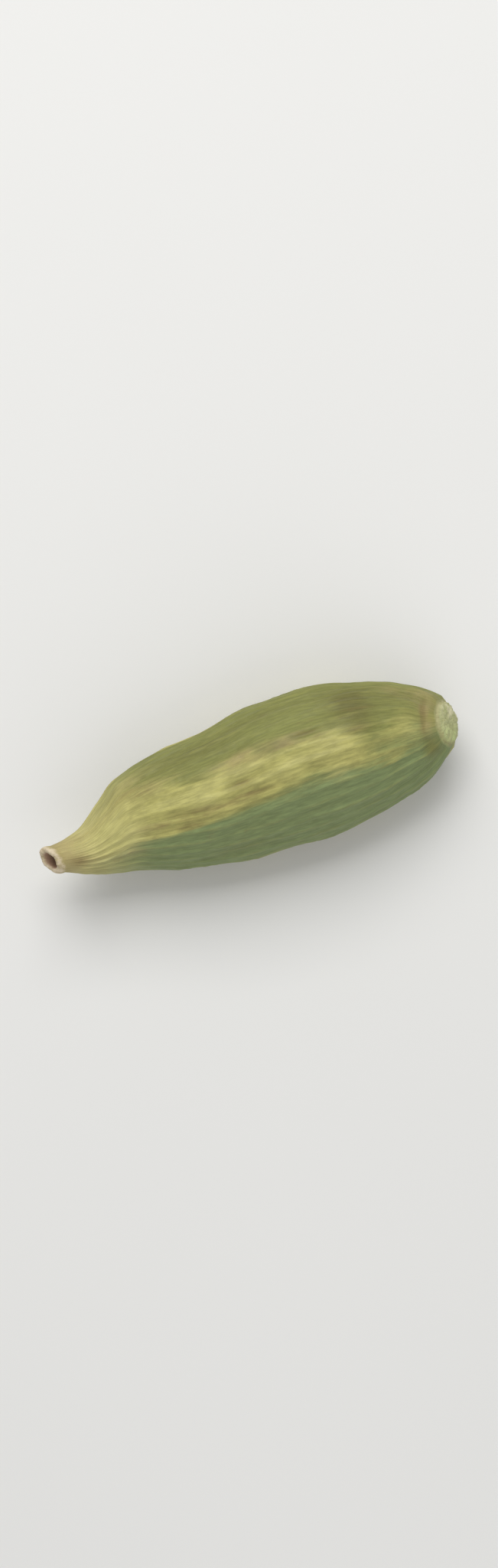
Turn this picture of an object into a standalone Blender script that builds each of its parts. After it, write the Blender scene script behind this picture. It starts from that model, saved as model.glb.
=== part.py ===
"""A dried green cardamom pod, lying on the flattest of its three faces.

Metres, +Z up, +X from the beak, where the flower was, to the scar of the stalk.
The origin is on the surface that the pod lies on, under the middle of its box.

The pod is turned first, as a blank on the Z axis: a pit, a lip and a neck at the beak, the
belly, and the scar at the base. Each point of the blank then moves by a formula, which makes
the section a rounded triangle, bends the axis, and raises the ribs and the bulges of the seeds.
"""

import math

import bmesh
import bpy
from mathutils import Matrix, Vector, noise

MM = 0.001

# Driving sizes of the pod
POD_LENGTH = 15.75 * MM
DEPTH_SHARE = 0.93
# The husk's half width at each distance from the beak's lip
HALF_WIDTHS = (
    (0.30 * MM, 0.55 * MM),
    (0.90 * MM, 0.69 * MM),
    (1.60 * MM, 0.92 * MM),
    (2.40 * MM, 1.33 * MM),
    (3.20 * MM, 1.71 * MM),
    (4.80 * MM, 2.17 * MM),
    (7.20 * MM, 2.52 * MM),
    (9.90 * MM, 2.74 * MM),
    (12.00 * MM, 2.55 * MM),
    (13.60 * MM, 2.12 * MM),
    (14.50 * MM, 1.74 * MM),
    (15.10 * MM, 1.38 * MM),
    (15.45 * MM, 1.08 * MM),
)
# How far the middle line stands to the side, seen from above
SIDE_SWAY = (
    (0.00 * MM, -0.07 * MM),
    (0.90 * MM, -0.16 * MM),
    (1.60 * MM, -0.13 * MM),
    (2.40 * MM, 0.10 * MM),
    (3.20 * MM, 0.33 * MM),
    (6.40 * MM, 0.32 * MM),
    (9.60 * MM, 0.50 * MM),
    (13.60 * MM, 0.52 * MM),
    (15.75 * MM, 0.34 * MM),
)

# Beak: what is left of the flower's tube, cut aslant and hollow
# Its outline from the outside in: distance from the lip, and radius
BEAK_OUTLINE = (
    (0.12 * MM, 0.57 * MM),
    (0.00 * MM, 0.50 * MM),
    (0.00 * MM, 0.37 * MM),
    (0.08 * MM, 0.30 * MM),
    (0.60 * MM, 0.26 * MM),
    (1.10 * MM, 0.17 * MM),
    (1.16 * MM, 0.00 * MM),
)
BEAK_LIFT = 1.10 * MM
BEAK_BEND = 4.80 * MM
BEAK_SLANT = 0.32
BEAK_SLANT_END = 1.20 * MM
LIP_WAVE = 0.02 * MM
LIP_WAVES = 5
LIP_WAVE_END = 0.20 * MM

# Base: the pale scar where the stalk was rubbed off, and the husk drawn in round it
# Its outline from the middle out: distance back from the end, and radius
SCAR_OUTLINE = (
    (0.00 * MM, 0.00 * MM),
    (0.00 * MM, 0.30 * MM),
    (0.02 * MM, 0.58 * MM),
    (0.08 * MM, 0.78 * MM),
    (0.16 * MM, 0.80 * MM),
    (0.18 * MM, 0.88 * MM),
)
BASE_LIFT = 0.40 * MM
BASE_BEND = 3.60 * MM
SCAR_SLANT_UP = 0.20
SCAR_SLANT_ASIDE = -0.09
SCAR_SLANT_START = 14.4 * MM
SCAR_SLANT_FULL = 15.6 * MM
PUCKERS = 9
PUCKER_DEPTH = 0.05 * MM

# Section: three lobes, the first one on top, turning a little along the pod
LOBES = 3
LOBE_SHARE = 0.075
CREST_SHARE = 0.014
TWIST_START = math.radians(-2.0)
TWIST_END = math.radians(15.0)

# Surface: ribs along the pod, and bulges over the rows of seeds
RIBS = 27
RIB_HEIGHT = 0.068 * MM
RIB_NARROWNESS = 1.5
RIB_WANDER = 0.10
SEED_SPACING = 3.1 * MM
SEED_BULGE = 0.05 * MM
# Dried-in furrows: where along, at which angle from the top, how long and wide, how deep
FURROWS = (
    (8.3 * MM, math.radians(4), 1.9 * MM, 0.22 * MM, 0.09 * MM),
    (5.4 * MM, math.radians(-9), 1.5 * MM, 0.26 * MM, 0.08 * MM),
    (11.2 * MM, math.radians(62), 2.2 * MM, 0.40 * MM, 0.10 * MM),
    (6.8 * MM, math.radians(-68), 2.6 * MM, 0.45 * MM, 0.12 * MM),
    (9.6 * MM, math.radians(-128), 2.0 * MM, 0.35 * MM, 0.09 * MM),
    (5.2 * MM, math.radians(118), 1.8 * MM, 0.35 * MM, 0.09 * MM),
)

# Where each relief rises from nothing to full, and where it fades from full to nothing
LOBE_REACH = (0.2 * MM, 2.6 * MM, 14.2 * MM, 15.7 * MM)
RIB_REACH = (0.4 * MM, 2.0 * MM, 14.8 * MM, 15.5 * MM)
SEED_REACH = (3.0 * MM, 6.0 * MM, 12.0 * MM, 14.5 * MM)
PUCKER_REACH = (14.0 * MM, 15.2 * MM, 15.45 * MM, 15.7 * MM)

# How much of its lowest side is pressed flat where it lies
PRESSED_DEPTH = 0.20 * MM

# Fineness of the mesh
SIDES = 4 * RIBS
BODY_STATIONS = 38
END_CLOSENESS = 0.28
MERGE_DISTANCE = 0.001 * MM

HUSK_COLOUR = (0.36, 0.36, 0.12, 1.0)
HUSK_ROUGHNESS = 0.62


def smooth_step(low, high, value):
    """0 below low, 1 above high, and a smooth rise between them."""
    share = min(1.0, max(0.0, (value - low) / (high - low)))
    return share * share * (3.0 - 2.0 * share)


def within(reach, along):
    """1 inside a reach, 0 beyond it, and smooth where it rises and fades."""
    rise_start, rise_end, fade_start, fade_end = reach
    return smooth_step(rise_start, rise_end, along) * (1 - smooth_step(fade_start, fade_end, along))


def smooth_value(keys, at):
    """The value at a distance, on a smooth curve through keys of (distance, value)."""
    last = len(keys) - 1
    span = 0
    while span < last - 1 and at > keys[span + 1][0]:
        span += 1
    (low, start), (high, end) = keys[span], keys[span + 1]
    before, after = keys[max(0, span - 1)], keys[min(last, span + 2)]
    reach = high - low
    slope_in = (end - before[1]) / (high - before[0]) * reach
    slope_out = (after[1] - start) / (after[0] - low) * reach
    t = min(1.0, max(0.0, (at - low) / reach))
    return (
        start * (1 + 2 * t) * (1 - t) ** 2
        + end * t * t * (3 - 2 * t)
        + slope_in * t * (1 - t) ** 2
        - slope_out * t * t * (1 - t)
    )


def blank_profile():
    """The blank's outline as (distance along, radius), from the scar's middle to the pit's bottom."""
    scar = [(POD_LENGTH - back, radius) for back, radius in SCAR_OUTLINE]
    body_start, body_end = HALF_WIDTHS[0][0], HALF_WIDTHS[-1][0]
    body = []
    for station in range(BODY_STATIONS + 1):
        share = station / BODY_STATIONS
        # Closer stations at the ends, where the outline turns most
        share += END_CLOSENESS * (smooth_step(0.0, 1.0, share) - share)
        along = body_end + (body_start - body_end) * share
        body.append((along, smooth_value(HALF_WIDTHS, along)))
    return scar + body + list(BEAK_OUTLINE)


def turned_blank():
    """The blank's mesh: the outline turned round the Z axis by a Screw modifier."""
    outline = bpy.data.meshes.new("blank_outline")
    points = [(radius, 0.0, along) for along, radius in blank_profile()]
    outline.from_pydata(points, [(i, i + 1) for i in range(len(points) - 1)], [])
    blank = bpy.data.objects.new("blank", outline)
    bpy.context.scene.collection.objects.link(blank)
    turn = blank.modifiers.new("turn", "SCREW")
    turn.steps = turn.render_steps = SIDES
    turn.use_merge_vertices = True
    turn.merge_threshold = MERGE_DISTANCE
    graph = bpy.context.evaluated_depsgraph_get()
    mesh = bpy.data.meshes.new_from_object(blank.evaluated_get(graph))
    bpy.data.objects.remove(blank)
    bpy.data.meshes.remove(outline)
    return mesh


def lobe_factor(along, angle):
    """How far the three lobes push the section out, as a factor of its radius."""
    twist = TWIST_START + (TWIST_END - TWIST_START) * along / POD_LENGTH
    turned = LOBES * (angle - twist)
    lobes = LOBE_SHARE * math.cos(turned) + CREST_SHARE * math.cos(2 * turned)
    return 1 + within(LOBE_REACH, along) * lobes


def rib_relief(along, angle):
    """The height of the ribs, which run from the beak to the scar and wander a little."""
    around = Vector((1.3 * math.cos(angle), 1.3 * math.sin(angle), along / (5 * MM)))
    wander = RIB_WANDER * noise.noise(around)
    crest = (0.5 + 0.5 * math.cos(RIBS * (angle + wander))) ** RIB_NARROWNESS
    strength = 0.75 + 0.7 * noise.noise(around * 2.1 + Vector((7.0, 3.0, 1.0)))
    return RIB_HEIGHT * within(RIB_REACH, along) * strength * (crest - 0.4)


def seed_relief(along, angle):
    """Soft bulges over the seeds, in a row under each lobe."""
    lobe = round(LOBES * angle / math.tau) % LOBES
    on_lobe = 0.5 + 0.5 * math.cos(LOBES * angle)
    wave = math.cos(math.tau * along / SEED_SPACING + 2.1 * lobe)
    return SEED_BULGE * within(SEED_REACH, along) * on_lobe * wave


def furrow_relief(along, angle):
    """The furrows, each an oval dent with its long side along the pod."""
    outer = smooth_value(HALF_WIDTHS, along)
    dent = 0.0
    for where, turn, length, width, depth in FURROWS:
        aside = outer * ((angle - turn + math.pi) % math.tau - math.pi)
        away = ((along - where) / (length / 2)) ** 2 + (aside / width) ** 2
        dent -= depth * math.exp(-away)
    return dent


def pucker_relief(along, angle):
    """The folds that the husk's end is drawn into round the scar."""
    return PUCKER_DEPTH * within(PUCKER_REACH, along) * math.cos(PUCKERS * angle + 0.6)


def middle_line(along):
    """The pod's bent axis: a point of it for each distance from the beak's lip."""
    beak = max(0.0, 1 - along / BEAK_BEND)
    base = max(0.0, 1 - (POD_LENGTH - along) / BASE_BEND)
    rise = BEAK_LIFT * beak**3 + BASE_LIFT * base**3
    return Vector((along, smooth_value(SIDE_SWAY, along), rise))


def axis_frame(along):
    """The directions ahead and upward where the axis bends up, square to each other."""
    step = 0.05 * MM
    rise = middle_line(along + step).z - middle_line(along - step).z
    ahead = Vector((2 * step, 0.0, rise)).normalized()
    return ahead, Vector((-ahead.z, 0.0, ahead.x))


def end_shift(along, angle, side, up):
    """How far a point moves along the axis for the slanted lip, its waves and the slanted scar."""
    at_lip = 1 - smooth_step(0.0, BEAK_SLANT_END, along)
    at_scar = smooth_step(SCAR_SLANT_START, SCAR_SLANT_FULL, along)
    on_edge = 1 - smooth_step(0.0, LIP_WAVE_END, along)
    slant = -BEAK_SLANT * at_lip * side - at_scar * (SCAR_SLANT_UP * up + SCAR_SLANT_ASIDE * side)
    return slant + LIP_WAVE * on_edge * math.sin(LIP_WAVES * angle + 0.8)


def husk_point(along, angle, radius):
    """Where the blank's point at (along, angle, radius) lies on the husk."""
    on_skin = min(1.0, radius / smooth_value(HALF_WIDTHS, along)) ** 3
    relief = (
        rib_relief(along, angle)
        + seed_relief(along, angle)
        + furrow_relief(along, angle)
        + pucker_relief(along, angle)
    )
    spread = radius * lobe_factor(along, angle) + on_skin * relief
    side = spread * math.sin(angle)
    up = spread * math.cos(angle) * DEPTH_SHARE
    ahead, upward = axis_frame(along)
    shift = end_shift(along, angle, side, up)
    return middle_line(along) + ahead * shift + Vector((0.0, side, 0.0)) + upward * up


def shape_husk(mesh):
    """Moves each point of the blank to its place on the husk."""
    shaped = bmesh.new()
    shaped.from_mesh(mesh)
    bmesh.ops.remove_doubles(shaped, verts=shaped.verts, dist=MERGE_DISTANCE)
    for vert in shaped.verts:
        # Laid along +X, the blank has its own X axis on top and its Y axis at -Y
        above, beside, along = vert.co
        vert.co = husk_point(along, math.atan2(-beside, above), math.hypot(above, beside))
    shaped.to_mesh(mesh)
    shaped.free()


def lay_down(mesh):
    """Presses the underside flat, and centres the pod on the origin."""
    floor = min(vert.co.z for vert in mesh.vertices) + PRESSED_DEPTH
    for vert in mesh.vertices:
        vert.co.z = max(vert.co.z, floor)
    low_x, high_x = min(v.co.x for v in mesh.vertices), max(v.co.x for v in mesh.vertices)
    low_y, high_y = min(v.co.y for v in mesh.vertices), max(v.co.y for v in mesh.vertices)
    middle = Vector(((low_x + high_x) / 2, (low_y + high_y) / 2, floor))
    mesh.transform(Matrix.Translation(-middle))


def husk_material():
    """The dry yellow-green husk."""
    material = bpy.data.materials.new("husk")
    material.use_nodes = True
    shader = material.node_tree.nodes["Principled BSDF"]
    shader.inputs["Base Color"].default_value = HUSK_COLOUR
    shader.inputs["Roughness"].default_value = HUSK_ROUGHNESS
    return material


def build_pod():
    """The whole pod, one closed solid."""
    mesh = turned_blank()
    mesh.name = "pod"
    shape_husk(mesh)
    lay_down(mesh)
    mesh.materials.append(husk_material())
    mesh.shade_smooth()
    pod = bpy.data.objects.new("pod", mesh)
    collection = bpy.data.collections.new("cardamom_pod")
    bpy.context.scene.collection.children.link(collection)
    collection.objects.link(pod)


def clear_scene():
    """Removes the objects that the scene starts with."""
    for obj in list(bpy.data.objects):
        bpy.data.objects.remove(obj)


clear_scene()
build_pod()
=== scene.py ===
"""A dried green cardamom pod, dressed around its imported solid.

Laid out as a Blender add-on, and run as a script. The pod's tables are in millimetres and
degrees, and its mesh takes them times MM. +X runs from the beak, where the flower was, to the
scar of the stalk. Angles round the pod start on top and grow towards +Y.
"""

import math

import bmesh
import bpy
import numpy as np
from bpy.props import FloatProperty, FloatVectorProperty, PointerProperty
from mathutils import Matrix, Vector, noise


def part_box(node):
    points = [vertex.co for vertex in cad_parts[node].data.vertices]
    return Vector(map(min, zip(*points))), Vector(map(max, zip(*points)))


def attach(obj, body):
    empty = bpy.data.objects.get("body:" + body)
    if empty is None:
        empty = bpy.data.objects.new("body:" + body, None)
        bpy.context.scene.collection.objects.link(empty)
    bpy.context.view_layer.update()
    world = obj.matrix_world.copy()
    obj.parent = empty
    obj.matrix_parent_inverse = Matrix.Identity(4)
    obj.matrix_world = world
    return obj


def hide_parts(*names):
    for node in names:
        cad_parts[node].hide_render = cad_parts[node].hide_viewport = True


bl_info = {
    "name": "Green Cardamom Pod",
    "version": (1, 0, 0),
    "blender": (4, 5, 0),
    "location": "3D View > Sidebar > Cardamom",
    "description": "Builds a dried green cardamom pod, with its husk, scar, beak and a plain stage",
    "category": "Add Mesh",
}

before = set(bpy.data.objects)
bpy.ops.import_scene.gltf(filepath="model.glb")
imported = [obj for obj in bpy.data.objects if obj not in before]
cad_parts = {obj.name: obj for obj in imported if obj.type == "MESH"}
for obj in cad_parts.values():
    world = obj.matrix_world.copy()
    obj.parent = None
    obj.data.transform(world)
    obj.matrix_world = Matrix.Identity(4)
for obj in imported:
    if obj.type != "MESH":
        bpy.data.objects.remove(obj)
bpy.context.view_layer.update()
POD_LOW, POD_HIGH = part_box("pod")

MM = 0.001

# The pod's form, the same as its solid's
POD_LENGTH = 15.75
DEPTH_SHARE = 0.93
# The husk's half width at each distance from the beak's lip
HALF_WIDTHS = (
    (0.30, 0.55),
    (0.90, 0.69),
    (1.60, 0.92),
    (2.40, 1.33),
    (3.20, 1.71),
    (4.80, 2.17),
    (7.20, 2.52),
    (9.90, 2.74),
    (12.00, 2.55),
    (13.60, 2.12),
    (14.50, 1.74),
    (15.10, 1.38),
    (15.45, 1.08),
)
# How far the middle line stands to the side at each distance, seen from above
SIDE_SWAY = (
    (0.00, -0.07),
    (0.90, -0.16),
    (1.60, -0.13),
    (2.40, 0.10),
    (3.20, 0.33),
    (6.40, 0.32),
    (9.60, 0.50),
    (13.60, 0.52),
    (15.75, 0.34),
)
# The beak's outline from the outside in: distance from the lip, and radius
BEAK_OUTLINE = (
    (0.12, 0.57),
    (0.00, 0.50),
    (0.00, 0.37),
    (0.08, 0.30),
    (0.60, 0.26),
    (1.10, 0.17),
    (1.16, 0.00),
)
# How far the beak bends up, and over what length; then its slant and the lip's waves
BEAK_LIFT = 1.10
BEAK_BEND = 4.80
BEAK_SLANT = 0.32
BEAK_SLANT_END = 1.20
LIP_WAVE = 0.02
LIP_WAVES = 5
LIP_WAVE_START = 0.8
LIP_WAVE_END = 0.20
# The scar's outline from the middle out: distance back from the end, and radius
SCAR_OUTLINE = (
    (0.00, 0.00),
    (0.00, 0.30),
    (0.02, 0.58),
    (0.08, 0.78),
    (0.16, 0.80),
    (0.18, 0.88),
)
# The same for the base, and the slant of its scar
BASE_LIFT = 0.40
BASE_BEND = 3.60
SCAR_SLANT_UP = 0.20
SCAR_SLANT_ASIDE = -0.09
SCAR_SLANT_START = 14.4
SCAR_SLANT_FULL = 15.6
# Folds round the scar, the rounded three-sided section, and the ribs along the pod
PUCKERS = 9
PUCKER_DEPTH = 0.05
PUCKER_START = 0.6
LOBES = 3
LOBE_SHARE = 0.075
CREST_SHARE = 0.014
TWIST_START = -2.0
TWIST_END = 15.0
RIBS = 27
RIB_NARROWNESS = 1.5
# The share of a rib's height that lies under the plain husk
RIB_FOOT = 0.4
RIB_WANDER = 0.10
# The noise that makes the ribs wander: the ring it is read on, and its length along the pod
RIB_NOISE_RING = 1.3
RIB_NOISE_RUN = 5.0
# How strong the ribs are on average, how far that varies, and the noise that varies it
RIB_STRENGTH = 0.75
RIB_STRENGTH_RANGE = 0.7
RIB_STRENGTH_FINENESS = 2.1
RIB_STRENGTH_START = (7.0, 3.0, 1.0)
SEED_SPACING = 3.1
SEED_BULGE = 0.05
# How far each row of seeds is out of step with the one before
SEED_STAGGER = 2.1
# Dried-in furrows: where along, at which angle, how long and wide, and how deep
FURROWS = (
    (8.3, 4, 1.9, 0.22, 0.09),
    (5.4, -9, 1.5, 0.26, 0.08),
    (11.2, 62, 2.2, 0.40, 0.10),
    (6.8, -68, 2.6, 0.45, 0.12),
    (9.6, -128, 2.0, 0.35, 0.09),
    (5.2, 118, 1.8, 0.35, 0.09),
)
# Where each relief rises from nothing to full, and where it fades from full to nothing
LOBE_REACH = (0.2, 2.6, 14.2, 15.7)
RIB_REACH = (0.4, 2.0, 14.8, 15.5)
SEED_REACH = (3.0, 6.0, 12.0, 14.5)
PUCKER_REACH = (14.0, 15.2, 15.45, 15.7)

# Finer relief, which only the looks have
FINE_REACH = (0.3, 1.2, 14.7, 15.4)
# Ribs on the lower face, as a share of the others
LOWER_RIBS = 0.70
# The half width that the husk's strands are laid out at, and how wide and long one is
STRAND_RADIUS = 2.3
STRAND_WIDTH = 0.13
STRAND_RUN = 2.0
# Noises over the husk: how wide their bumps are, how long along the pod, and where they start
HUSK_NOISES = {
    "veins": (1.0, 3.0, (0.0, 0.0, 0.0)),
    "veins_between": (1.0, 2.2, (0.0, 3.0, 0.0)),
    "wrinkled_places": (1.4, 1.8, (0.0, 0.0, 9.0)),
    "wrinkles": (0.55, 0.19, (0.0, 0.0, 0.0)),
    "crumples": (0.75, 1.7, (0.0, 0.0, 5.0)),
    "dents": (0.32, 0.6, (0.0, 0.0, 3.0)),
    "lit_face_patches": (1.1, 2.6, (0.0, 0.0, 4.0)),
    "band_edges": (0.9, 1.7, (0.0, 0.0, 0.0)),
}
# Veins on the ribs and between them: narrowness, average, and how far that varies
RIB_VEIN = (5, 0.6, 0.9)
VALLEY_VEIN = (4, 0.5, 1.2)
# From where to where in its noise a place turns wrinkled
WRINKLED_RISE = (-0.05, 0.30)
# The scar's torn cells: their size, where the noise starts, and their share of the height
SCAR_BUMPS = ((0.16, 2.0, 1.0), (0.07, 5.0, 0.7))
# The lip's rags: their fineness round it, their size across it, and their share of the height
LIP_RAGS = ((7.0, 0.3, 1.0), (16.0, 0.2, 0.6))
# Over what distance the scar's roughness sets in, and the lip's fades
SCAR_BUMPS_RISE = 0.08
LIP_RAGS_FADE = 0.25
# Marks on the husk: where along, angle, length, width, strength
MARKS = {
    # Narrow drying wrinkles, sunk in, with their depth for strength
    "wrinkle": (
        (7.75, 11.0, 0.4, 0.06, 0.025),
        (7.65, 3.0, 1.0, 0.08, 0.045),
        (7.9, -1.6, 1.1, 0.07, 0.025),
        (7.8, -7.2, 1.7, 0.09, 0.050),
        (8.6, -9.6, 1.0, 0.07, 0.030),
        (10.5, 21.0, 1.2, 0.09, 0.050),
        (5.3, -19.0, 1.1, 0.08, 0.040),
        (12.6, 33.0, 1.7, 0.12, 0.040),
        (3.9, 28.0, 1.8, 0.09, 0.035),
        (15.16, 12.0, 0.22, 0.45, 0.050),
        (15.22, 42.0, 0.24, 0.50, 0.050),
        (14.80, 70.0, 0.60, 0.20, 0.030),
        (9.2, -112.0, 2.4, 0.09, 0.050),
        (6.1, -124.0, 1.9, 0.08, 0.045),
        (8.8, 127.0, 2.2, 0.09, 0.050),
        (11.4, 116.0, 1.8, 0.08, 0.040),
    ),
    # Brown stains, drawn out in streaks
    "stain": (
        (5.5, -8.0, 4.2, 0.17, 0.62),
        (4.7, -13.0, 1.6, 0.18, 0.50),
        (7.8, -7.6, 1.7, 0.16, 0.60),
        (7.7, 2.4, 1.0, 0.11, 0.40),
        (10.4, 22.0, 0.9, 0.13, 0.70),
        (5.4, -20.0, 0.9, 0.12, 0.80),
        (9.2, 17.0, 3.6, 0.14, 0.40),
        (3.3, 38.0, 2.6, 0.18, 0.40),
        (1.5, -30.0, 1.0, 0.16, 0.45),
        (9.2, -116.0, 3.4, 0.25, 0.70),
        (7.0, -108.0, 2.2, 0.16, 0.60),
        (6.0, 128.0, 3.0, 0.25, 0.70),
        (12.0, 112.0, 2.0, 0.25, 0.60),
    ),
    # Deeper olive places
    "shade": (
        (1.3, -72.0, 1.0, 0.25, 0.80),
        (12.35, 40.0, 1.8, 1.30, 1.30),
        (9.95, 2.0, 0.9, 0.24, 0.80),
        (9.25, 19.5, 1.0, 0.20, 0.70),
        (6.05, 17.0, 1.2, 0.24, 0.70),
        (14.2, 48.0, 1.6, 0.80, 0.35),
        (6.4, 52.0, 3.6, 0.70, 0.55),
        (9.0, 62.0, 2.4, 0.50, 0.35),
        (8.0, -150.0, 4.0, 0.90, 0.50),
        (15.2, -34.0, 1.1, 0.50, 0.85),
        (5.0, 160.0, 3.0, 0.80, 0.40),
    ),
    # Browned places without streaks
    "bruise": (
        (0.82, -24.0, 0.80, 0.24, 1.15),
        (15.08, -2.0, 0.30, 0.28, 0.50),
        (12.3, 13.0, 0.9, 0.12, 0.50),
        (15.24, 22.0, 0.30, 0.55, 0.50),
        (9.5, 128.0, 1.6, 0.30, 0.50),
    ),
    # Pinkish tan places
    "blush": (
        (7.9, 22.0, 2.2, 0.26, 0.75),
        (9.8, 20.0, 1.0, 0.20, 0.55),
        (15.15, 58.0, 0.9, 0.70, 0.65),
        (15.30, 14.0, 0.45, 0.60, 0.60),
        (0.8, 30.0, 1.2, 0.50, 0.60),
        (4.6, 30.0, 2.0, 0.30, 0.35),
        (3.7, 58.0, 2.2, 0.50, 0.30),
        (2.8, -38.0, 1.4, 0.26, 0.50),
        (14.3, 62.0, 1.4, 0.50, 0.40),
        (10.0, -125.0, 2.2, 0.50, 0.60),
    ),
    # Bleached places; the first row is painted light that evens out the shade on one side of the
    # furrow at 8.3 mm
    "bleach_and_light": (
        (8.1, 11.5, 1.5, 0.18, 0.65),
        (3.4, 62.0, 1.4, 0.45, 0.35),
        (6.1, -1.0, 1.2, 0.20, 0.60),
        (8.35, 0.5, 0.8, 0.13, 0.70),
        (3.2, -9.0, 1.7, 0.36, 0.60),
        (2.5, -13.0, 1.9, 0.42, 1.00),
        (11.1, 9.0, 2.0, 0.40, 0.58),
        (11.2, -15.0, 0.9, 0.28, 0.50),
        (14.4, 5.0, 0.9, 0.40, 0.35),
        (2.9, -25.0, 2.6, 0.13, 0.85),
        (5.6, 8.0, 3.4, 0.24, 0.50),
        (1.9, 20.0, 2.4, 0.40, 0.80),
        (9.4, 1.0, 1.2, 0.28, 0.45),
        (7.4, -110.0, 3.0, 0.40, 0.50),
        (10.4, 122.0, 3.2, 0.40, 0.50),
    ),
}
# The straw bands along the three ridges, in degrees from the ridge: at each distance along,
# the outer and the inner end of a band's soft edge, on its low side and on its high side
BAND_LOW = (
    (0.0, -30.0, -22.0),
    (3.2, -35.0, -24.0),
    (4.8, -33.0, -22.0),
    (6.0, -31.0, -18.0),
    (8.0, -35.0, -12.0),
    (11.5, -39.0, -9.0),
    (12.5, -44.0, -20.0),
    (13.4, -52.0, -34.0),
    (14.4, -48.0, -28.0),
    (15.7, -42.0, -20.0),
)
BAND_HIGH = (
    (0.0, 90.0, 40.0),
    (3.2, 78.0, 10.0),
    (4.6, 60.0, 8.0),
    (5.6, 34.0, 0.0),
    (6.8, 32.0, 0.0),
    (8.0, 33.0, 4.0),
    (9.0, 23.0, -2.0),
    (10.2, 22.0, -4.0),
    (11.8, 15.0, -6.0),
    (13.4, 12.0, -10.0),
    (14.4, 28.0, 2.0),
    (15.7, 30.0, 4.0),
)
# How strong the bands are at each distance along
BAND_STRENGTH = ((0.0, 1.0), (11.9, 1.0), (12.9, 0.58), (14.0, 0.56), (15.7, 0.50))
# The high side of the two bands beside the top one, and the degrees that the top one may fill
SIDE_BAND_HIGH = (14.0, -4.0)
TOP_BAND_REACH = (-60.0, 100.0)
# By how many degrees the bands' edges wander
BAND_WANDER = 6.0
# Edge of the painted shade, where the olive lit face turns grey-green: by the sine of the angle, and
# how far it wanders
LIT_FACE_EDGE = (-0.35, 0.25)
LIT_FACE_WANDER = 0.35

# Fineness of the husk's mesh, in numbers and in millimetres
SIDES = 11 * RIBS
BODY_STATIONS = 266
END_SPACING = 0.045
MERGE_DISTANCE = 0.001

# Fineness of the rough pod that the husk's place is worked out from
FIT_STATIONS = 80
FIT_SIDES = 108
FIT_START = 0.1

# Where the ends' own colours start and stop, by distance along or by radius
SCAR_START = 15.57
SCAR_RISE = (SCAR_START - 0.02, SCAR_START + 0.03)
# The half width at each distance over the scar
SCAR_WIDTHS = ((SCAR_START, 0.88), (POD_LENGTH, 0.60))
SCAR_RIM = 0.80
SCAR_RIM_WIDTH = 0.06
SCAR_RIM_RISE = (15.35, 15.5)
PIT_EDGE = (0.29, 0.37)
PIT_FADE = (1.2, 1.4)
LIP_FADE = (0.06, 0.26)
LIP_EDGE_WANDER = 0.1
LIP_EDGE_FINENESS = 5.0
TAN_FADE = (0.25, 1.3)
# Where the neck's straw starts to fade, over what distance, and how much further on the painted lit
# face
NECK_START = 0.8
NECK_FADE = 3.2
NECK_FADE_LIT = 0.5

# The material's noises: the place that they read, how far that is drawn out along the pod,
# and their fineness, detail and roughness
PATTERNS = {
    "streaks": ("strand", 0.13, 5.5, 5.0, 0.62),
    "threads": ("strand", 0.13, 15.0, 3.0, 0.50),
    "fibres": ("strand", 0.07, 13.0, 4.0, 0.60),
    "mottle": ("grain", 0.60, 0.55, 3.0, 0.50),
    "blotches": ("grain", 0.50, 1.9, 4.0, 0.65),
    "pores": ("grain", 0.50, 9.0, 3.0, 0.60),
    "sheen": ("grain", 1.00, 2.2, 4.0, 0.50),
    "cells": ("disc", 1.00, 2.6, 5.0, 0.65),
    "lip_patches": ("disc", 1.00, 3.5, 4.0, 0.70),
}
# How far each layer of colour covers what lies under it
COVER = {
    "neck": 0.85,
    "veins": 0.22,
    "wrinkles": 0.42,
    # The painted shade in the relief's low places
    "valleys": 0.18,
    "threads": 0.34,
    "fibre_ends": 0.50,
    "lip": 0.95,
    "scar_rim": 0.40,
}
# Greys that darken and lighten the husk's single threads
THREAD_DARK = (0.34, 0.34, 0.34)
THREAD_LIGHT = (0.66, 0.66, 0.66)
# How many fibre ends stand in a millimetre of the scar
FIBRE_ENDS = 6.5
# What turns a wrinkle's depth into a share
WRINKLE_SHARE = 22.0
# How far the roughness varies, and how much fibres and pores add to the grain
SHEEN_RANGE = 0.24
FIBRE_SHARE = 0.7
PORE_SHARE = 0.5

# The picture's size in pixels, the camera's sensor in millimetres, and its reach in metres
PICTURE_WIDTH = 651
PICTURE_HEIGHT = 2048
SENSOR_WIDTH = 36.0
CLIP_START = 0.01
CLIP_END = 2.0

# The stage, in metres
FLOOR_SIZE = 4.0
FLOOR_GAP = 0.005 * MM
FLOOR_ROUGHNESS = 0.75
# The floor's unevenness: its fineness and detail, and its darkest share of the colour
FLOOR_GRAIN = (40.0, 2.0)
FLOOR_SHADE = 0.97
# Colour of the surroundings
SURROUNDINGS = (0.95, 0.97, 1.0, 1.0)
# Each light's direction from the pod, towards the picture's right, its top and the camera;
# its distance, for a direction of length 1; and its size
KEY_DIRECTION = (-0.15, 0.75, 1.0)
KEY_DISTANCE = 0.16
KEY_SIZE = 0.14
FILL_DIRECTION = (0.4, -1.0, 0.9)
FILL_DISTANCE = 0.16
FILL_SIZE = 0.20


def smooth_step(low, high, value):
    """0 below low, 1 above high, and a smooth rise between them."""
    share = np.clip((value - low) / (high - low), 0.0, 1.0)
    return share * share * (3.0 - 2.0 * share)


def within(reach, along):
    """1 inside a reach, 0 beyond it, and smooth where it rises and fades."""
    rise_start, rise_end, fade_start, fade_end = reach
    return smooth_step(rise_start, rise_end, along) * (1 - smooth_step(fade_start, fade_end, along))


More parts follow.
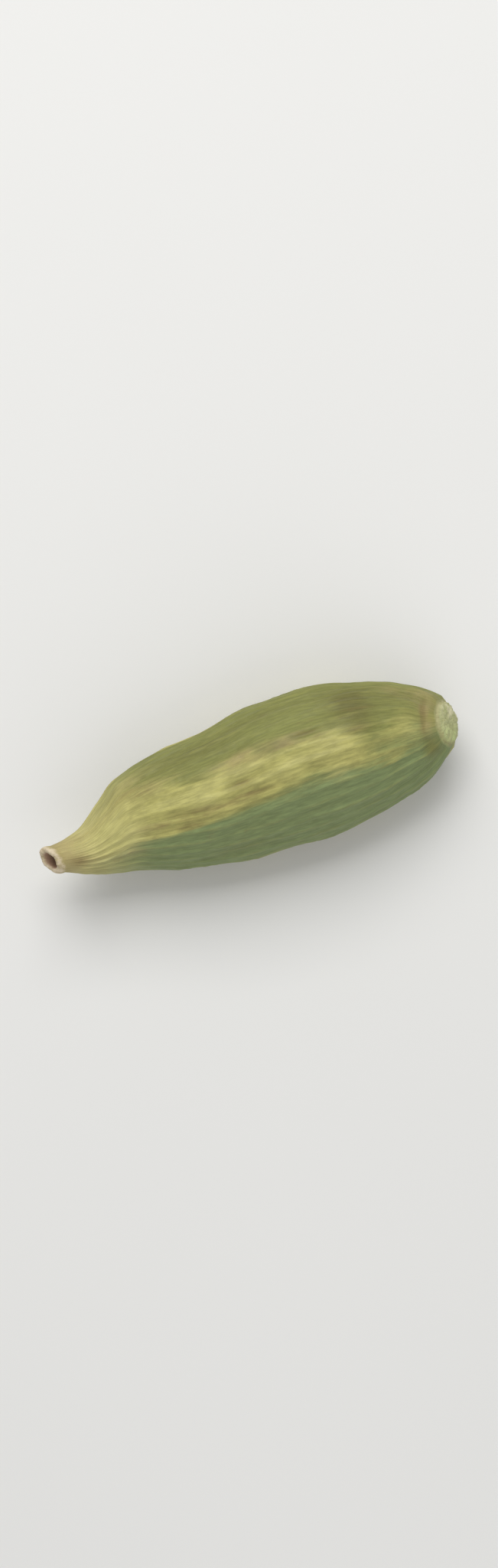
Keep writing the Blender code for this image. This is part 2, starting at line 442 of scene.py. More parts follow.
def smooth_value(keys, at):
    """The values at some distances, on a smooth curve through keys of (distance, value)."""
    places, values = np.array(keys).T
    last = len(places) - 1
    span = np.clip(np.searchsorted(places, at) - 1, 0, last - 1)
    before, after = np.maximum(span - 1, 0), np.minimum(span + 2, last)
    low, high, start, end = places[span], places[span + 1], values[span], values[span + 1]
    slope_in = (end - values[before]) / (high - places[before]) * (high - low)
    slope_out = (values[after] - start) / (places[after] - low) * (high - low)
    t = np.clip((at - low) / (high - low), 0.0, 1.0)
    return (
        start * (1 + 2 * t) * (1 - t) ** 2
        + end * t * t * (3 - 2 * t)
        + slope_in * t * (1 - t) ** 2
        - slope_out * t * t * (1 - t)
    )


def smooth_noise(across, up, along):
    """Smooth noise, about -0.6 to 0.6, at each point."""
    points = np.stack(np.broadcast_arrays(across, up, along), axis=-1)
    return np.array([noise.noise(point) for point in points.tolist()])


def unit(vectors):
    """The vectors at length 1."""
    return vectors / np.linalg.norm(vectors, axis=-1, keepdims=True)


def around(angle):
    """The angle between -pi and pi."""
    return (angle + math.pi) % math.tau - math.pi


def oval_marks(rows, along, angle):
    """Soft oval marks with their long side along the pod, added up."""
    outer = smooth_value(HALF_WIDTHS, along)
    total = np.zeros_like(along)
    for where, turn, length, width, strength in rows:
        aside = outer * around(angle - math.radians(turn))
        total += strength * np.exp(-(((along - where) / (length / 2)) ** 2) - (aside / width) ** 2)
    return total


def twist_at(along):
    """How far the lobes have turned round the pod."""
    return np.radians(TWIST_START + (TWIST_END - TWIST_START) * along / POD_LENGTH)


def lobe_factor(along, angle):
    """How far the three lobes push the section out, as a factor of its radius."""
    turned = LOBES * (angle - twist_at(along))
    lobes = LOBE_SHARE * np.cos(turned) + CREST_SHARE * np.cos(2 * turned)
    return 1 + within(LOBE_REACH, along) * lobes


def rib_crest(along, angle):
    """0 in the valleys and 1 on the crests of the ribs, which wander a little."""
    ring = RIB_NOISE_RING * np.cos(angle), RIB_NOISE_RING * np.sin(angle)
    wander = RIB_WANDER * smooth_noise(*ring, along / RIB_NOISE_RUN)
    return 0.5 + 0.5 * np.cos(RIBS * (angle + wander))


def rib_strength(along, angle):
    """How strong the ribs are from place to place."""
    place = RIB_NOISE_RING * np.cos(angle), RIB_NOISE_RING * np.sin(angle), along / RIB_NOISE_RUN
    finer = [RIB_STRENGTH_FINENESS * at + start for at, start in zip(place, RIB_STRENGTH_START)]
    return RIB_STRENGTH + RIB_STRENGTH_RANGE * smooth_noise(*finer)


def seed_relief(along, angle):
    """Soft bulges over the seeds, in a row under each lobe."""
    lobe = np.round(LOBES * angle / math.tau) % LOBES
    on_lobe = 0.5 + 0.5 * np.cos(LOBES * angle)
    wave = np.cos(math.tau * along / SEED_SPACING + SEED_STAGGER * lobe)
    return SEED_BULGE * within(SEED_REACH, along) * on_lobe * wave


def pucker_relief(along, angle):
    """The folds that the husk's end is drawn into round the scar."""
    return PUCKER_DEPTH * within(PUCKER_REACH, along) * np.cos(PUCKERS * angle + PUCKER_START)


def middle_line(along):
    """The pod's bent axis: a point of it for each distance from the beak's lip."""
    beak = np.maximum(0.0, 1 - along / BEAK_BEND)
    base = np.maximum(0.0, 1 - (POD_LENGTH - along) / BASE_BEND)
    rise = BEAK_LIFT * beak**3 + BASE_LIFT * base**3
    return np.stack([along, smooth_value(SIDE_SWAY, along), rise], axis=-1)


def axis_frame(along):
    """The directions ahead and upward where the axis bends up, square to each other."""
    step = 0.05
    rise = (middle_line(along + step) - middle_line(along - step))[..., 2]
    flat = np.zeros_like(along)
    ahead = unit(np.stack([flat + 2 * step, flat, rise], axis=-1))
    return ahead, np.stack([-ahead[..., 2], flat, ahead[..., 0]], axis=-1)


def end_shift(along, angle, side, up):
    """How far a point moves along the axis for the slanted lip, its waves and the slanted scar."""
    at_lip = 1 - smooth_step(0.0, BEAK_SLANT_END, along)
    at_scar = smooth_step(SCAR_SLANT_START, SCAR_SLANT_FULL, along)
    on_edge = 1 - smooth_step(0.0, LIP_WAVE_END, along)
    slant = -BEAK_SLANT * at_lip * side - at_scar * (SCAR_SLANT_UP * up + SCAR_SLANT_ASIDE * side)
    return slant + LIP_WAVE * on_edge * np.sin(LIP_WAVES * angle + LIP_WAVE_START)


def husk_points(along, angle, radius, relief, push=0.0):
    """Where the blank's points lie on the husk. Push moves them along the axis."""
    spread = radius * lobe_factor(along, angle) + relief
    side = spread * np.sin(angle)
    up = spread * np.cos(angle) * DEPTH_SHARE
    ahead, upward = axis_frame(along)
    shift = end_shift(along, angle, side, up) + push
    points = middle_line(along) + ahead * shift[..., None] + upward * up[..., None]
    points[..., 1] += side
    return points


def form_relief(along, angle, rib_height):
    """The relief that the solid has too: ribs, seeds, furrows and puckers."""
    crest = rib_crest(along, angle) ** RIB_NARROWNESS
    height = rib_height * (LOWER_RIBS + (1 - LOWER_RIBS) * lit_face_share(along, angle))
    ribs = height * within(RIB_REACH, along) * rib_strength(along, angle) * (crest - RIB_FOOT)
    return (
        ribs
        + seed_relief(along, angle)
        - oval_marks(FURROWS, along, angle)
        + pucker_relief(along, angle)
    )


def to_frame(rib_height):
    """How far the formula's pod moves to lie where the solid lies."""
    stations = np.linspace(FIT_START, POD_LENGTH, FIT_STATIONS)
    along, angle = np.meshgrid(stations, np.linspace(0, math.tau, FIT_SIDES))
    along, angle = along.ravel(), angle.ravel()
    radius = smooth_value(HALF_WIDTHS + SCAR_WIDTHS, along)
    points = husk_points(along, angle, radius, form_relief(along, angle, rib_height)) * MM
    low, high = points.min(axis=0), points.max(axis=0)
    middle = (np.array(POD_LOW) + np.array(POD_HIGH)) / 2 - (low + high) / 2
    return np.array((middle[0], middle[1], POD_HIGH.z - high[2]))


def smooth_run(points):
    """A finer outline on a smooth curve through the points."""
    points = np.array(points)
    gaps = np.hypot(*np.diff(points, axis=0).T)
    reach = np.concatenate([[0.0], np.cumsum(gaps)])
    at = np.linspace(0.0, reach[-1], round(reach[-1] / END_SPACING) + 1)
    runs = [smooth_value(np.stack([reach, column], axis=-1), at) for column in points.T]
    return np.stack(runs, axis=-1)


def blank_outline():
    """The outline as (distance along, radius), from the scar's middle to the pit's bottom."""
    scar = [(POD_LENGTH - back, radius) for back, radius in SCAR_OUTLINE]
    stations = np.linspace(HALF_WIDTHS[-1][0], HALF_WIDTHS[0][0], BODY_STATIONS)
    body = np.stack([stations, smooth_value(HALF_WIDTHS, stations)], axis=-1)
    scar_run = smooth_run(scar + [tuple(body[0])])
    beak_run = smooth_run([tuple(body[-1])] + list(BEAK_OUTLINE))
    return np.concatenate([scar_run[:-1], body, beak_run[1:]])


def turned_blank():
    """The blank's mesh in millimetres: the outline turned round the Z axis by a Screw modifier."""
    outline = bpy.data.meshes.new("blank_outline")
    points = [(radius, 0.0, along) for along, radius in blank_outline().tolist()]
    outline.from_pydata(points, [(i, i + 1) for i in range(len(points) - 1)], [])
    blank = bpy.data.objects.new("blank", outline)
    bpy.context.scene.collection.objects.link(blank)
    turn = blank.modifiers.new("turn", "SCREW")
    turn.steps = turn.render_steps = SIDES
    graph = bpy.context.evaluated_depsgraph_get()
    mesh = bpy.data.meshes.new_from_object(blank.evaluated_get(graph))
    bpy.data.objects.remove(blank)
    bpy.data.meshes.remove(outline)
    shaped = bmesh.new()
    shaped.from_mesh(mesh)
    bmesh.ops.remove_doubles(shaped, verts=shaped.verts, dist=MERGE_DISTANCE)
    shaped.to_mesh(mesh)
    shaped.free()
    return mesh


def mesh_points(mesh):
    """A mesh's points as rows."""
    points = np.empty(len(mesh.vertices) * 3)
    mesh.vertices.foreach_get("co", points)
    return points.reshape(-1, 3)


def set_attribute(mesh, name, values):
    """Keeps a number, or a vector, for each point of a mesh, where its material reads it."""
    kind, field = ("FLOAT", "value") if values.ndim == 1 else ("FLOAT_VECTOR", "vector")
    attribute = mesh.attributes.new(name, kind, "POINT")
    attribute.data.foreach_set(field, values.astype(np.float32).ravel())


def skin_place(along, angle):
    """The straightened husk, where a distance is about as long as on the pod."""
    outer = smooth_value(HALF_WIDTHS, along)
    return outer * np.cos(angle), outer * np.sin(angle), along


def strand_place(along, angle):
    """The husk rolled to one width, where a strand runs straight and parallel to the others."""
    return STRAND_RADIUS * np.cos(angle), STRAND_RADIUS * np.sin(angle), along


def husk_noise(name, along, angle):
    """One of the husk's named noises."""
    width, run, start = HUSK_NOISES[name]
    across, up, ahead = skin_place(along, angle)
    return smooth_noise(across / width + start[0], up / width + start[1], ahead / run + start[2])


def vein(share, kind, name, along, angle):
    """Veins where share is 1, stronger and weaker from place to place."""
    narrowness, average, spread = kind
    return share**narrowness * (average + spread * husk_noise(name, along, angle))


def fine_relief(along, angle, shape):
    """Veins on and between the ribs, fibres, wrinkles and crumples of the dried husk."""
    crest = rib_crest(along, angle)
    veins = vein(crest, RIB_VEIN, "veins", along, angle)
    veins += vein(1 - 2 * crest, VALLEY_VEIN, "veins_between", along, angle)
    wrinkled = smooth_step(*WRINKLED_RISE, husk_noise("wrinkled_places", along, angle))
    across, up, ahead = strand_place(along, angle)
    strands = smooth_noise(across / STRAND_WIDTH, up / STRAND_WIDTH, ahead / STRAND_RUN)
    fine = shape.vein_height * veins
    fine += shape.wrinkle_height * wrinkled * husk_noise("wrinkles", along, angle)
    fine += shape.fibre_height * strands * smooth_value(HALF_WIDTHS, along) / STRAND_RADIUS
    fine += shape.crumple_height * husk_noise("crumples", along, angle)
    fine += shape.dent_height * husk_noise("dents", along, angle)
    return within(FINE_REACH, along) * fine / MM - oval_marks(MARKS["wrinkle"], along, angle)


def lit_face_share(along, angle):
    """1 on the olive lit face, and 0 on the grey-green face across the ridge, which is its painted
    shade with a bluish cast.
    """
    patches = LIT_FACE_WANDER * husk_noise("lit_face_patches", along, angle)
    return smooth_step(*LIT_FACE_EDGE, np.sin(angle - twist_at(along)) + patches)


def band_share(along, angle):
    """1 on the straw bands along the three ridges, and 0 on the green faces between them."""
    turned = np.degrees(around(angle - twist_at(along)))
    turned += BAND_WANDER * husk_noise("band_edges", along, angle)
    between = 360 / LOBES
    from_ridge = (turned + between / 2) % between - between / 2
    (low_out, low_in), (high_out, high_in) = (
        [np.interp(along, places, edge) for edge in edges]
        for places, *edges in (np.array(rows).T for rows in (BAND_LOW, BAND_HIGH))
    )
    # The top band reaches past the middle of its face, and the other two are narrow
    on_top = (turned > TOP_BAND_REACH[0]) & (turned < TOP_BAND_REACH[1])
    from_ridge = np.where(on_top, turned, from_ridge)
    high_out = np.where(on_top, high_out, SIDE_BAND_HIGH[0])
    high_in = np.where(on_top, high_in, SIDE_BAND_HIGH[1])
    band = smooth_step(0, 1, (from_ridge - low_out) / (low_in - low_out))
    band *= 1 - smooth_step(0, 1, (from_ridge - high_in) / (high_out - high_in))
    return band * np.interp(along, *np.array(BAND_STRENGTH).T)


def husk_attributes(mesh, along, angle, radius, relief):
    """What the husk's material reads at each point."""
    across, up, ahead = skin_place(along, angle)
    disc = radius * np.cos(angle), radius * np.sin(angle), along
    lit_face = lit_face_share(along, angle)
    neck = (along - NECK_START) / (NECK_FADE + NECK_FADE_LIT * lit_face)
    lip_wander = smooth_noise(LIP_EDGE_FINENESS * across, LIP_EDGE_FINENESS * up, 0.0)
    from_lip = along + LIP_EDGE_WANDER * lip_wander
    from_rim = (radius - SCAR_RIM) / SCAR_RIM_WIDTH
    values = {
        "grain": np.stack([across, up, ahead], axis=-1),
        "strand": np.stack(strand_place(along, angle), axis=-1),
        "disc": np.stack(disc, axis=-1),
        "crest": rib_crest(along, angle),
        "relief": relief,
        "lit_face": lit_face,
        "band": band_share(along, angle),
        "neck": 1 - smooth_step(0.0, 1.0, neck),
        "tan": 1 - smooth_step(*TAN_FADE, along),
        "lip": 1 - smooth_step(*LIP_FADE, from_lip),
        "pit": (1 - smooth_step(*PIT_EDGE, radius)) * (1 - smooth_step(*PIT_FADE, along)),
        "scar": smooth_step(*SCAR_RISE, along),
        "rim": np.exp(-(from_rim**2)) * smooth_step(*SCAR_RIM_RISE, along),
    }
    for name, value in values.items():
        set_attribute(mesh, name, value)
    for name, rows in MARKS.items():
        set_attribute(mesh, name, oval_marks(rows, along, angle))


def on_scar(along):
    """0 on the husk and 1 on the scar."""
    return smooth_step(SCAR_START, SCAR_START + SCAR_BUMPS_RISE, along)


def end_roughness(along, angle, radius, shape):
    """How far the torn scar and the ragged lip stand out along the axis."""
    above, beside = np.cos(angle), np.sin(angle)
    torn = sum(
        share * smooth_noise(radius * above / size, radius * beside / size, start)
        for size, start, share in SCAR_BUMPS
    )
    ragged = sum(
        share * smooth_noise(fineness * above, fineness * beside, radius / size)
        for fineness, size, share in LIP_RAGS
    )
    on_lip = 1 - smooth_step(0.0, LIP_RAGS_FADE, along)
    rough = shape.scar_height * on_scar(along) * torn + shape.lip_height * on_lip * ragged
    return rough / MM


def husk_mesh(shape):
    """The whole husk, with its scar and its beak, as one closed mesh."""
    mesh = turned_blank()
    above, beside, along = mesh_points(mesh).T
    # Laid along +X, the blank has its own X axis on top and its Y axis at -Y
    angle, radius = np.arctan2(-beside, above), np.hypot(above, beside)
    on_skin = np.minimum(1.0, radius / smooth_value(HALF_WIDTHS, along)) ** 3
    rib_height = shape.rib_height / MM
    relief = on_skin * form_relief(along, angle, rib_height)
    relief += on_skin * (1 - on_scar(along)) * fine_relief(along, angle, shape)
    push = end_roughness(along, angle, radius, shape)
    points = husk_points(along, angle, radius, relief, push) * MM + to_frame(rib_height)
    points[:, 2] = np.maximum(points[:, 2], POD_LOW.z)
    mesh.vertices.foreach_set("co", points.ravel())
    husk_attributes(mesh, along, angle, radius, relief)
    mesh.shade_smooth()
    mesh.update()
    return mesh


class Flow:
    """A node's output in a Python expression: values add Math nodes, vectors Vector Math nodes."""

    def __init__(self, graph, socket):
        self.graph = graph
        self.socket = socket

    def __add__(self, other):
        return self.graph.operate("ADD", self, other)

    def __sub__(self, other):
        return self.graph.operate("SUBTRACT", self, other)

    def __rsub__(self, other):
        return self.graph.operate("SUBTRACT", other, self)

    def __mul__(self, other):
        return self.graph.operate("MULTIPLY", self, other)

    __radd__ = __add__
    __rmul__ = __mul__

    def rise(self, low, high):
        """0 where this is below low, 1 above high, and a smooth rise between them."""
        sockets = {"Value": self, "From Min": low, "From Max": high}
        return self.graph.node("ShaderNodeMapRange", {"interpolation_type": "SMOOTHSTEP"}, sockets)


class Graph:
    """A material's nodes."""

    def __init__(self, name):
        self.material = bpy.data.materials.new(name)
        self.material.use_nodes = True
        self.tree = self.material.node_tree
        self.shader = self.tree.nodes["Principled BSDF"]

    def node(self, kind, settings, sockets, output=0):
        """Adds a node: its settings first, then a value or a link for each socket."""
        node = self.tree.nodes.new(kind)
        for name, value in settings.items():
            setattr(node, name, value)
        self.fill(node, sockets)
        return Flow(self, node.outputs[output])

    def fill(self, node, sockets):
        """Gives a node's sockets their values or links."""
        for name, value in sockets.items():
            socket = node.inputs[name]
            if isinstance(value, Flow):
                self.tree.links.new(value.socket, socket)
            elif socket.type == "RGBA":
                socket.default_value = (*value, 1.0)
            else:
                socket.default_value = value

    def operate(self, operation, first, second):
        """An operator's node: Math for two values, or else Vector Math."""
        vectors = any(
            isinstance(side, tuple) or (isinstance(side, Flow) and side.socket.type != "VALUE")
            for side in (first, second)
        )
        kind = "ShaderNodeVectorMath" if vectors else "ShaderNodeMath"
        return self.node(kind, {"operation": operation}, {0: first, 1: second})

    def attribute(self, name, output="Fac"):
        """A number or a vector that the mesh keeps for each point."""
        return self.node("ShaderNodeAttribute", {"attribute_name": name}, {}, output)

    def noise(self, place, scale, detail, roughness=0.5):
        """Soft noise round 0.5."""
        sockets = {"Vector": place, "Scale": scale, "Detail": detail, "Roughness": roughness}
        return self.node("ShaderNodeTexNoise", {}, sockets)

    def mix(self, share, first, second, blend="MIX"):
        """One colour turning into another, or blended with it, by a share."""
        # Sockets 6 and 7 are the node's two colours, and output 2 is its colour
        settings = {"data_type": "RGBA", "blend_type": blend}
        return self.node("ShaderNodeMix", settings, {0: share, 6: first, 7: second}, 2)

    def pattern(self, name):
        """One of the material's named noises."""
        place, drawn_out, scale, detail, roughness = PATTERNS[name]
        spot = self.attribute(place, "Vector") * (1.0, 1.0, drawn_out)
        return self.noise(spot, scale, detail, roughness)

    def bump(self, height, distance):
        """Fine relief for the shader's normal."""
        sockets = {"Height": height, "Distance": distance}
        return self.node("ShaderNodeBump", {}, sockets, "Normal")


def husk_colour(graph, finish):
    """Olive and grey-green faces, straw bands, pale veins, brown wrinkles and stains, with painted
    shade on the grey-green face and in the relief's low places.
    """
    streaks = graph.pattern("streaks")
    threads = graph.pattern("threads")
    mottle = graph.pattern("mottle")
    blotch = graph.pattern("blotches")
    ridge = graph.attribute("band")
    # Painted light and shade: olive on the lit face, and a bluish grey-green painted shade on the
    # face across the ridge
    lit_face = (graph.attribute("lit_face") + ridge * 0.7 + (mottle - 0.5) * 0.6).rise(0.1, 0.9)
    green = graph.mix(lit_face, finish.shaded_flank, finish.lit_flank)
    shade = graph.attribute("shade") * (0.7 + mottle.rise(0.36, 0.60) * 0.3)
    green = graph.mix(shade, green, finish.olive_deep)
    straw = graph.mix(blotch.rise(0.40, 0.66), finish.straw, finish.straw_deep)
    band = (ridge - shade * 0.5 + (streaks - 0.5) * 1.05).rise(0.15, 0.90)
    colour = graph.mix(band, green, straw)
    colour = graph.mix(graph.attribute("neck") * COVER["neck"], colour, finish.beak)
    colour = graph.mix(graph.attribute("tan") * (0.35 + blotch * 0.6), colour, finish.blush)
    veins = graph.attribute("crest").rise(0.62, 0.98) * streaks.rise(0.42, 0.60)
    colour = graph.mix(veins * COVER["veins"], colour, finish.straw_deep)
    # Bleached places, and painted light on one side of the furrow at 8.3 mm
    bleach_and_light = graph.attribute("bleach_and_light") * (0.4 + streaks.rise(0.30, 0.62) * 0.6)
    colour = graph.mix(bleach_and_light, colour, finish.bleached)
    blush = graph.attribute("blush") * (0.3 + blotch.rise(0.35, 0.60) * 0.6)
    colour = graph.mix(blush, colour, finish.blush)
    stain = graph.attribute("stain") * streaks.rise(0.36, 0.60) + blotch.rise(0.60, 0.78) * 0.30
    stain = stain + graph.attribute("bruise") * (0.4 + blotch * 0.6)
    colour = graph.mix(stain, colour, finish.stain)
    wrinkle = (graph.attribute("wrinkle") * WRINKLE_SHARE).rise(0.25, 1.0)
    colour = graph.mix(wrinkle * COVER["wrinkles"], colour, finish.wrinkle)
    # Painted shade: the low places of the relief, between the ribs and in the furrows, darkened to
    # deep olive
    valley_shade = 1 - graph.attribute("relief").rise(-0.08, 0.02)
    colour = graph.mix(valley_shade * COVER["valleys"], colour, finish.olive_deep)
    thread = graph.mix(threads.rise(0.35, 0.65), THREAD_DARK, THREAD_LIGHT)
    return graph.mix(COVER["threads"], colour, thread, "OVERLAY")


def scar_colour(graph, finish):
    """The scar's torn cells, greenish on one side and with a painted whitish highlight on the other,
    with fibre ends.
    """
    disc = graph.attribute("disc", "Vector")
    cells = graph.pattern("cells")
    height = graph.node("ShaderNodeSeparateXYZ", {}, {"Vector": disc}, "X")
    aside = graph.node("ShaderNodeSeparateXYZ", {}, {"Vector": disc}, "Y")
    pale = graph.mix(aside.rise(-0.60, 0.20), finish.scar_green, finish.scar)
    # A painted highlight: whitish cream on the scar's side towards +Y, away from its top
    whitish = aside.rise(-0.05, 0.30) * (1 - height.rise(0.0, 0.60))
    pale = graph.mix(whitish, pale, finish.scar_highlight)
    colour = graph.mix(cells.rise(0.36, 0.64), finish.scar_deep, pale)
    sockets = {"Vector": disc * (1.0, 1.0, 0.0), "Scale": FIBRE_ENDS}
    ends = graph.node("ShaderNodeTexVoronoi", {}, sockets, "Distance")
    return graph.mix((1 - ends.rise(0.10, 0.24)) * COVER["fibre_ends"], colour, finish.stain)


def lip_colour(graph, finish):
    """The dry pinkish rim of the beak."""
    return graph.mix(graph.pattern("lip_patches").rise(0.40, 0.70), finish.lip, finish.lip_deep)


def husk_material(finish):
    """The whole husk's material: its skin, the scar, the lip and the pit in it."""
    graph = Graph("husk_skin")
    skin = husk_colour(graph, finish)
    lip = lip_colour(graph, finish)
    skin = graph.mix(graph.attribute("lip") * COVER["lip"], skin, lip)
    skin = graph.mix(graph.attribute("scar"), skin, scar_colour(graph, finish))
    skin = graph.mix(graph.attribute("rim") * COVER["scar_rim"], skin, finish.stain)
    skin = graph.mix(graph.attribute("pit"), skin, finish.pit)
    grain = graph.pattern("fibres") * FIBRE_SHARE + graph.pattern("pores") * PORE_SHARE
    sockets = {
        "Base Color": skin,
        "Roughness": finish.roughness + (graph.pattern("sheen") - 0.5) * SHEEN_RANGE,
        "Normal": graph.bump(grain, finish.grain_depth),
        "Specular IOR Level": finish.gloss,
    }
    graph.fill(graph.shader, sockets)
    return graph.material


def floor_material(stage):
    """A plain pale floor with a very faint unevenness."""
    graph = Graph("stage_floor")
    place = graph.node("ShaderNodeTexCoord", {}, {}, "Object")
    shade = graph.noise(place, *FLOOR_GRAIN)
    darker = tuple(FLOOR_SHADE * channel for channel in stage.floor_colour)
    colour = graph.mix(shade, tuple(stage.floor_colour), darker)
    graph.fill(graph.shader, {"Base Color": colour, "Roughness": FLOOR_ROUGHNESS})
    return graph.material


def new_object(name, data, material=None):
    """Links an object to the scene, with its material."""
    made = bpy.data.objects.new(name, data)
    bpy.context.scene.collection.objects.link(made)
    if material is not None:
        data.materials.append(material)
    return made


def height_property(name, description, millimetres):
    """A small height that a user can change."""
    return FloatProperty(
        name=name, description=description, default=millimetres * MM, min=0.0,
        precision=6, subtype="DISTANCE", unit="LENGTH",
    )


def colour_property(name, description, default):
    """A colour that a user can change."""
    return FloatVectorProperty(
        name=name, description=description, default=default,
        subtype="COLOR", size=3, min=0.0, max=1.0,
    )


class PodShape(bpy.types.PropertyGroup):
    """Heights of the husk's relief."""

    rib_height: height_property("Rib height", "Height of the ribs along the husk", 0.068)
    vein_height: height_property("Vein height", "Height of the veins on and between the ribs", 0.018)
    fibre_height: height_property(
        "Fibre height", "Height of the fine fibres between the ribs", 0.016
    )
    wrinkle_height: height_property(
        "Wrinkle height", "Height of the small wrinkles across the husk", 0.016
    )
    crumple_height: height_property(
        "Crumple height", "Height of the soft crumples of the dried husk", 0.042
    )
    dent_height: height_property("Dent height", "Height of the smaller dents in the husk", 0.022)
    scar_height: height_property(
        "Scar roughness", "Height of the torn surface of the stalk scar", 0.040
    )
    lip_height: height_property("Lip raggedness", "How ragged the edge of the beak is", 0.020)


class PodFinish(bpy.types.PropertyGroup):
    """Colours and gloss of the husk."""

    # The olive and the grey-green faces are a lit and a painted-shade copy of one green, the shaded
    # one with a bluish cast
    lit_flank: colour_property("Sunny face", "Olive of the face that had the sun", (0.220, 0.228, 0.060))
    shaded_flank: colour_property(
        "Lower face", "Grey-green of the lower face", (0.205, 0.256, 0.099)
    )
    olive_deep: colour_property("Deep olive", "Deeper olive of shaded places", (0.145, 0.138, 0.032))
    straw: colour_property("Bands", "Straw yellow of the bands", (0.445, 0.412, 0.125))
    straw_deep: colour_property("Deep bands", "Deeper straw of the bands", (0.345, 0.320, 0.095))
    bleached: colour_property("Bleached", "Palest places of the bands", (0.545, 0.505, 0.185))
    blush: colour_property("Blush", "Pinkish tan places", (0.400, 0.310, 0.135))
    beak: colour_property("Beak", "Straw of the neck and beak", (0.550, 0.490, 0.200))
    stain: colour_property("Stains", "Brown of stains and old wrinkles", (0.235, 0.170, 0.062))
    wrinkle: colour_property("Wrinkles", "Brown in the narrow wrinkles", (0.210, 0.155, 0.055))
    scar: colour_property("Scar", "Cream of the stalk scar", (0.560, 0.560, 0.280))
    # The whitish cream is a painted highlight on one side of the scar
    scar_highlight: colour_property(
        "Whitish scar", "Whitish cream of one side of the scar", (0.690, 0.650, 0.400)
    )
    scar_green: colour_property(
        "Greenish scar", "Greenish cream of its other side", (0.500, 0.560, 0.235)
    )
    scar_deep: colour_property("Deep scar", "Deeper cream of the stalk scar", (0.430, 0.440, 0.200))
    lip: colour_property("Lip", "Pinkish tan of the beak's rim", (0.730, 0.610, 0.430))
    lip_deep: colour_property("Deep lip", "Tan patches of the beak's rim", (0.440, 0.350, 0.170))
    pit: colour_property("Pit", "Red brown inside the beak", (0.380, 0.240, 0.155))
    roughness: FloatProperty(
        name="Roughness", description="Roughness of the husk",
        default=0.58, min=0.0, max=1.0, subtype="FACTOR",
    )
    gloss: FloatProperty(
        name="Gloss", description="Specular level of the husk",
        default=0.38, min=0.0, max=1.0, subtype="FACTOR",
    )
    grain_depth: height_property("Grain depth", "Depth of the finest grain of the husk", 0.024)


class StageSettings(bpy.types.PropertyGroup):
    """Floor, lights and camera."""

    floor_colour: colour_property("Floor", "Colour of the floor", (0.80, 0.79, 0.76))
    lean: FloatProperty(
        name="Lean", description="How far the pod leans in the picture",
        default=math.radians(17.6), subtype="ANGLE", unit="ROTATION",
    )
    picture_share: FloatProperty(
        name="Picture share", description="Share of the picture's width that the pod takes",
        default=0.88, min=0.1, max=1.0, subtype="FACTOR",
    )
    lens: FloatProperty(
        name="Lens", description="Focal length of the camera in millimetres",
        default=150.0, min=1.0,
    )
    key_power: FloatProperty(
        name="Key light", description="Power of the soft light from above",
        default=0.30, min=0.0, unit="POWER",
    )
    fill_power: FloatProperty(
        name="Fill light", description="Power of the light on the shaded side",
        default=0.10, min=0.0, unit="POWER",
    )
    sky: FloatProperty(
        name="Surroundings", description="Brightness of the pale surroundings",
        default=0.42, min=0.0,
    )


class CARDAMOM_OT_husk(bpy.types.Operator):
    """Build the husk over the pod's solid, with its ribs, wrinkles, scar and beak"""

    bl_idname = "cardamom.husk"
    bl_label = "Husk"

    def execute(self, context):
        scene = context.scene
        mesh = husk_mesh(scene.cardamom_shape)
        mesh.name = "pod_husk"
        husk = new_object("pod_husk", mesh, husk_material(scene.cardamom_finish))
        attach(husk, "root")
        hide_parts("pod")
        return {"FINISHED"}


class CARDAMOM_OT_stage(bpy.types.Operator):
    """Set up the pale floor, the soft lights and the camera"""

    bl_idname = "cardamom.stage"
    bl_label = "Stage"

    def execute(self, context):
        scene = context.scene
        stage = scene.cardamom_stage
        middle = (POD_LOW + POD_HIGH) / 2
        # Turns the picture's right, its top and the way to the camera into the frame's axes
        turn = Matrix.Rotation(-stage.lean, 3, "Z")
        to_key = turn @ Vector(KEY_DIRECTION) * KEY_DISTANCE
        to_fill = turn @ Vector(FILL_DIRECTION) * FILL_DISTANCE
        add_floor(stage)
        add_light("key_light", middle, to_key, KEY_SIZE, stage.key_power)
        add_light("fill_light", middle, to_fill, FILL_SIZE, stage.fill_power)
        add_world(stage)
        add_camera(middle, turn, POD_HIGH.x - POD_LOW.x, stage)
        scene.view_settings.view_transform = "Standard"
        return {"FINISHED"}


def add_camera(middle, turn, length, stage):
    """The camera, straight above the pod, with the pod across the picture's width."""
    camera = bpy.data.cameras.new("camera")
    camera.lens = stage.lens
    camera.sensor_width = SENSOR_WIDTH
    camera.clip_start, camera.clip_end = CLIP_START, CLIP_END
    picture_tall = length / stage.picture_share * PICTURE_HEIGHT / PICTURE_WIDTH
    away = picture_tall * stage.lens / SENSOR_WIDTH
    view = new_object("camera", camera)
    view.matrix_world = Matrix.Translation(middle + Vector((0.0, 0.0, away))) @ turn.to_4x4()
    bpy.context.scene.camera = view


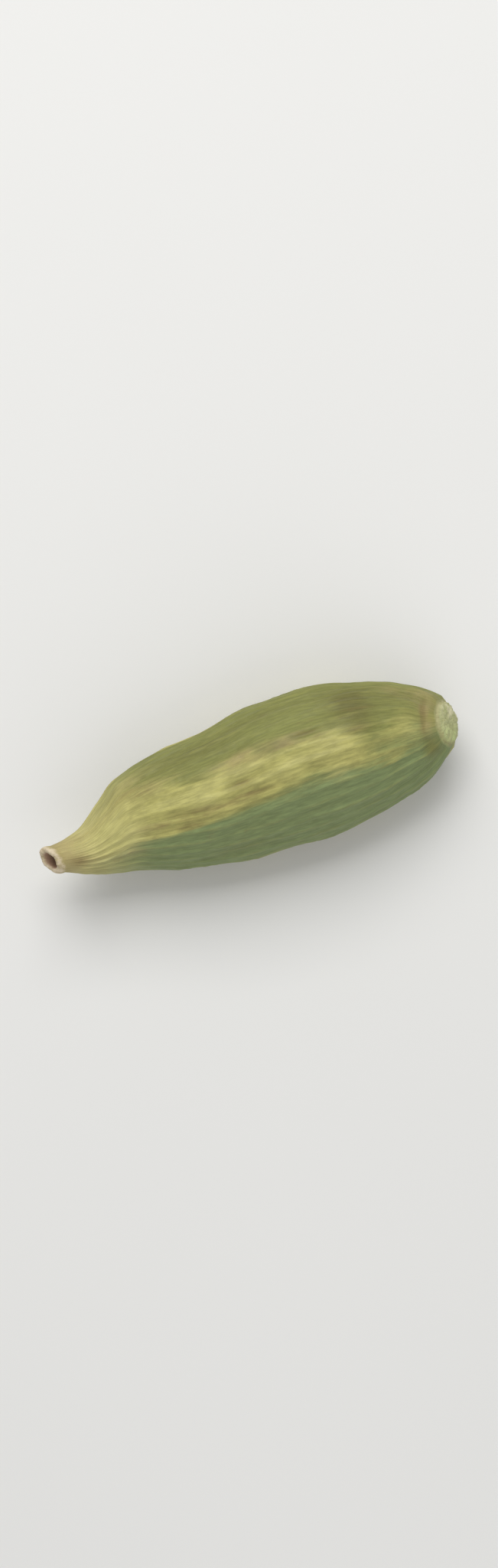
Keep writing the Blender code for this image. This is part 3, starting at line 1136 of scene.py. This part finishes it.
def add_floor(stage):
    """The pale floor, a hair below the pod's flat spot."""
    below = Vector((0.0, 0.0, POD_LOW.z - FLOOR_GAP))
    bpy.ops.mesh.primitive_plane_add(size=FLOOR_SIZE, location=below)
    floor = bpy.context.object
    floor.name = "floor"
    floor.data.materials.append(floor_material(stage))


def add_light(name, target, offset, size, power):
    """A soft square light that faces the pod."""
    light = bpy.data.lights.new(name, "AREA")
    light.shape = "SQUARE"
    light.size = size
    light.energy = power
    lamp = new_object(name, light)
    lamp.location = target + offset
    lamp.rotation_euler = (-offset).to_track_quat("-Z", "Y").to_euler()


def add_world(stage):
    """Pale surroundings that light the pod evenly."""
    world = bpy.data.worlds.new("surroundings")
    world.use_nodes = True
    background = world.node_tree.nodes["Background"]
    background.inputs["Color"].default_value = SURROUNDINGS
    background.inputs["Strength"].default_value = stage.sky
    bpy.context.scene.world = world


class CARDAMOM_PT_panel(bpy.types.Panel):
    """The pod's pieces and their settings"""

    bl_label = "Green Cardamom Pod"
    bl_idname = "CARDAMOM_PT_panel"
    bl_space_type = "VIEW_3D"
    bl_region_type = "UI"
    bl_category = "Cardamom"

    def draw(self, context):
        layout = self.layout
        scene = context.scene
        for operator in (CARDAMOM_OT_husk, CARDAMOM_OT_stage):
            layout.operator(operator.bl_idname)
        for settings in (scene.cardamom_shape, scene.cardamom_finish, scene.cardamom_stage):
            box = layout.box()
            for name in settings.__annotations__:
                box.prop(settings, name)


CLASSES = (
    PodShape,
    PodFinish,
    StageSettings,
    CARDAMOM_OT_husk,
    CARDAMOM_OT_stage,
    CARDAMOM_PT_panel,
)


def register():
    """Adds the classes and the scene's settings to Blender."""
    for item in CLASSES:
        bpy.utils.register_class(item)
    bpy.types.Scene.cardamom_shape = PointerProperty(type=PodShape)
    bpy.types.Scene.cardamom_finish = PointerProperty(type=PodFinish)
    bpy.types.Scene.cardamom_stage = PointerProperty(type=StageSettings)


def unregister():
    """Takes them away again."""
    del bpy.types.Scene.cardamom_shape
    del bpy.types.Scene.cardamom_finish
    del bpy.types.Scene.cardamom_stage
    for item in reversed(CLASSES):
        bpy.utils.unregister_class(item)


def main():
    """Builds the pod and its stage."""
    register()
    bpy.ops.cardamom.husk()
    bpy.ops.cardamom.stage()


if __name__ == "__main__":
    main()
